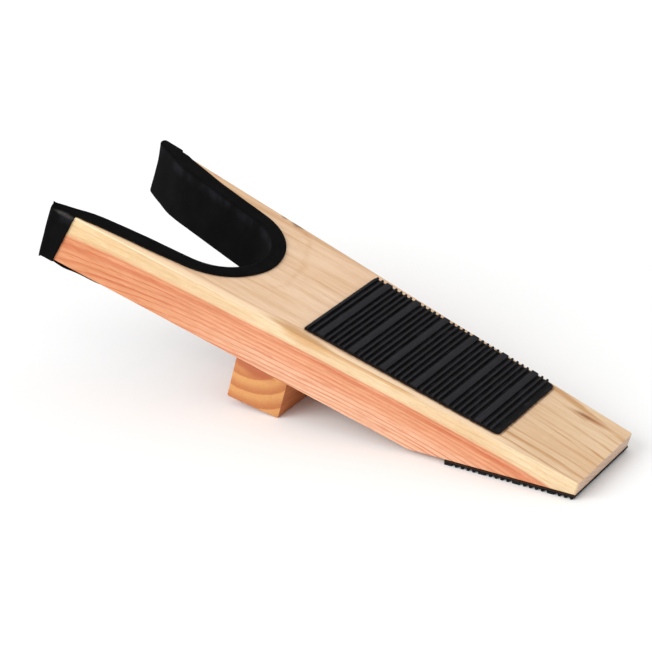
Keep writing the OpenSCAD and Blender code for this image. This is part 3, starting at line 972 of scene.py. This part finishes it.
def makeLining():
    bm = bmesh.new()
    stops = liningStops()
    outerFaces, inner = {}, []
    for side in (-1, 1):
        half = [liningProfile(stop, side) for stop in stops]
        rows = [points for points, reached in half]
        inner = rows[::-1] if side < 0 else inner[:-1] + rows
        first = next(i for i, (points, reached) in enumerate(half) if reached)
        before = set(bm.faces)
        fitGrid(bm, [outerProfile(stop, side) for stop in stops[first:]])
        outerFaces[side] = [face for face in bm.faces if face not in before]
    fitGrid(bm, inner)
    for side in (-1, 1):
        trimWrap(bm, outerFaces[side], side)
    bmesh.ops.remove_doubles(bm, verts=bm.verts[:], dist=0.03)
    bmesh.ops.dissolve_degenerate(bm, edges=bm.edges[:], dist=0.01)
    bmesh.ops.recalc_face_normals(bm, faces=bm.faces[:])
    # The strip isn't closed, so the way it faces is read at the bottom of the notch
    deepest = Vector((notch["radius"] - notchAlong, notch["shift"], underside / 2))
    middle = min(bm.faces, key=lambda f: (f.calc_center_median() - deepest).length)
    if middle.normal.x > 0:
        bmesh.ops.reverse_faces(bm, faces=bm.faces[:])
    bm.normal_update()
    for vert in bm.verts:
        push = skin["broad"] * noise.noise(Vector(vert.co) * skin["broadScale"]) + skin["out"]
        push += skin["fine"] * noise.noise(Vector(vert.co) * skin["fineScale"])
        vert.co += vert.normal * max(skin["least"], push)
    piece = finishPiece(bm, "jaw_lining_suede", [suede, suedeEdge], onJack, "jaw_lining", 60)
    wall = piece.modifiers.new("thickness", "SOLIDIFY")
    wall.thickness, wall.offset, wall.use_even_offset = lining["thick"], 1.0, True
    wall.material_offset_rim = 1
    soft = piece.modifiers.new("soft", "SUBSURF")
    soft.levels = soft.render_levels = 1


# Ribbed rubber matting: a wide bar and then a few narrow ribs, over and over
matting = dict(thick=jack["matThick"], base=1.3, barWide=5.0, ribWide=1.7, gap=2.2, ribs=4, ribEdge=0.35,
               draft=0.12, blankHalf=80.0)


# Start and width of each rib that fits between the ends of a mat
def ribPlaces(length, lead, bare):
    pitch = matting["ribWide"] + matting["gap"]
    barPitch = matting["barWide"] + matting["gap"] + matting["ribs"] * pitch
    places = []
    for bar in range(-1, math.ceil(length / barPitch) + 1):
        start, wide = lead + bar * barPitch, matting["barWide"]
        for rib in range(matting["ribs"] + 1):
            if start >= min(0.8, lead) - 0.01 and start + wide <= length - bare + 0.01:
                places.append((start, wide))
            start, wide = start + wide + matting["gap"], matting["ribWide"]
    return places


def makeMat(name, material, place, node, length, wideStart, wideEnd, lead=0, bare=0, corners=(0, 0)):
    bm = bmesh.new()
    base, top, draft, far = matting["base"], matting["thick"], matting["draft"], matting["blankHalf"]
    ribs = ribPlaces(length, lead, bare)
    outline = [(0, base)] if ribs[0][0] > 0.01 else []
    for at, wide in ribs:
        outline += [(at, base)] if at > 0.01 else []
        outline += [(at + draft, top), (at + wide - draft, top), (at + wide, base)]
    outline += [(length, base)] if outline[-1][0] < length - 0.01 else []
    outline.append((length, 0))
    vert = start = bm.verts.new((0, -far, 0))
    for x, z in outline:
        vert = goTo(bm, vert, (x, -far, z))
    bm.edges.new((vert, start))
    pushOut(bm, (0, 2 * far, 0))

    def isRibEdge(edge):
        a, b = endsOf(edge)
        return max(abs(a.z - top), abs(b.z - top)) < 0.01 and abs(a.y - b.y) > far

    easeEdges(bm, isRibEdge, matting["ribEdge"], 2)
    for side in (-1, 1):
        outward = Vector((-(wideEnd - wideStart) / 2, side * length, 0)).normalized()
        cutFlat(bm, (0, side * wideStart / 2, 0), outward)
    bmesh.ops.recalc_face_normals(bm, faces=bm.faces[:])

    def isCorner(edge, at):
        a, b = endsOf(edge)
        return max(abs(a.x - at), abs(b.x - at)) < 0.01 and abs(a.z - b.z) > 1

    for at, radius in zip((0, length), corners):
        if radius:
            easeEdges(bm, lambda edge: isCorner(edge, at), radius, 5)
    finishPiece(bm, name, [material], place, node, 40)


def makeTread():
    end = tread["start"] + tread["length"]
    makeMat("top_tread_rubber", treadRubber, onJack @ Matrix.Translation((-end, tread["shift"], 0)),
            "top_tread", tread["length"], wideStart=2 * (halfWide(end) - tread["insetHeel"]),
            wideEnd=2 * (halfWide(tread["start"]) - tread["insetToe"]), lead=tread["lead"],
            bare=tread["bare"], corners=(tread["cornerHeel"], tread["cornerToe"]))


# Grip: it lies on the bevel, from a gap before the bend to the toe edge
grip = dict(gap=22.5)


def makeGrip():
    length = (jack["boardThick"] - jack["toeThick"]) / math.sin(tilt) - grip["gap"]
    start = toeX - jack["toeThick"] * math.sin(tilt) - length
    place = Matrix.Translation((start, 0, jack["matThick"])) @ Matrix.Rotation(math.pi, 4, "X")
    makeMat("floor_grip_rubber", gripRubber, toMetres @ place, "floor_grip", length,
            wideStart=2 * halfWide(length * math.cos(tilt)), wideEnd=jack["toeWide"])


makeBoard()
print("board made")
makeBlock()
print("block made")
makeLining()
print("lining made")
makeTread()
makeGrip()
print("matting made")

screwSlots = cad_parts["block_screws"].data.materials
screwSlots.clear()
screwSlots.append(steel)

# Plain pale floor and soft studio light
studio = dict(world=0.86, key=2.05, keySoft=0.9, keyFrom=(-0.85, -1.5, 0.85), floorHalf=6)
floorLook = {"Base Color": (0.93, 0.93, 0.93, 1), "Roughness": 0.9, "Specular IOR Level": 0.1}


def makeStudio():
    bm = bmesh.new()
    bmesh.ops.create_grid(bm, x_segments=1, y_segments=1, size=studio["floorHalf"])
    floor = addObject("floor", meshFrom(bm, "floor"))
    floor.data.materials.append(newMaterial("paleFloor", floorLook)[0])
    floor.location.z = -0.0001
    world = bpy.data.worlds.new("studio")
    world.use_nodes = True
    background = world.node_tree.nodes["Background"]
    background.inputs["Color"].default_value = white
    background.inputs["Strength"].default_value = studio["world"]
    bpy.context.scene.world = world
    data = bpy.data.lights.new("key", "SUN")
    data.energy, data.angle = studio["key"], studio["keySoft"]
    light = addObject("key", data)
    light.rotation_euler = Vector(studio["keyFrom"]).to_track_quat("Z", "Y").to_euler()
    bpy.context.scene.view_settings.view_transform = "Standard"


makeStudio()
print("studio set")
